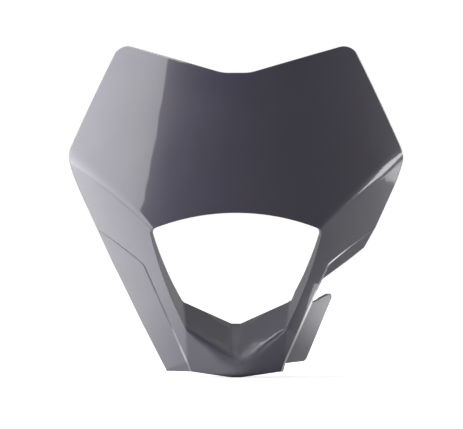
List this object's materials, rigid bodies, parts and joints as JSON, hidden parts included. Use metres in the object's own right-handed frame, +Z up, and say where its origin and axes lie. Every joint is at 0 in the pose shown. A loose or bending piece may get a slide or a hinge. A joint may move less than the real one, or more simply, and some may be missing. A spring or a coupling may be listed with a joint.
{
  "type": "headlight cowl",
  "caption": "Moulded motorbike headlight cowl: curved front plate, folded cheeks, faceted chin and a recessed lamp opening.",
  "frame": {"origin": "centre of the rectangle of four lamp screw bosses, on the plane of their seats behind the lamp opening", "axes": "+Z up, +Y towards the rider, square to the screw seats, +X to the right of someone who faces the cowl"},
  "size_m": [0.2516, 0.0716, 0.2481],
  "materials": {
    "shell": "glossy dark grey"
  },
  "bodies": {
    "root": {"cowl_shell": "shell"}
  },
  "joints": []
}
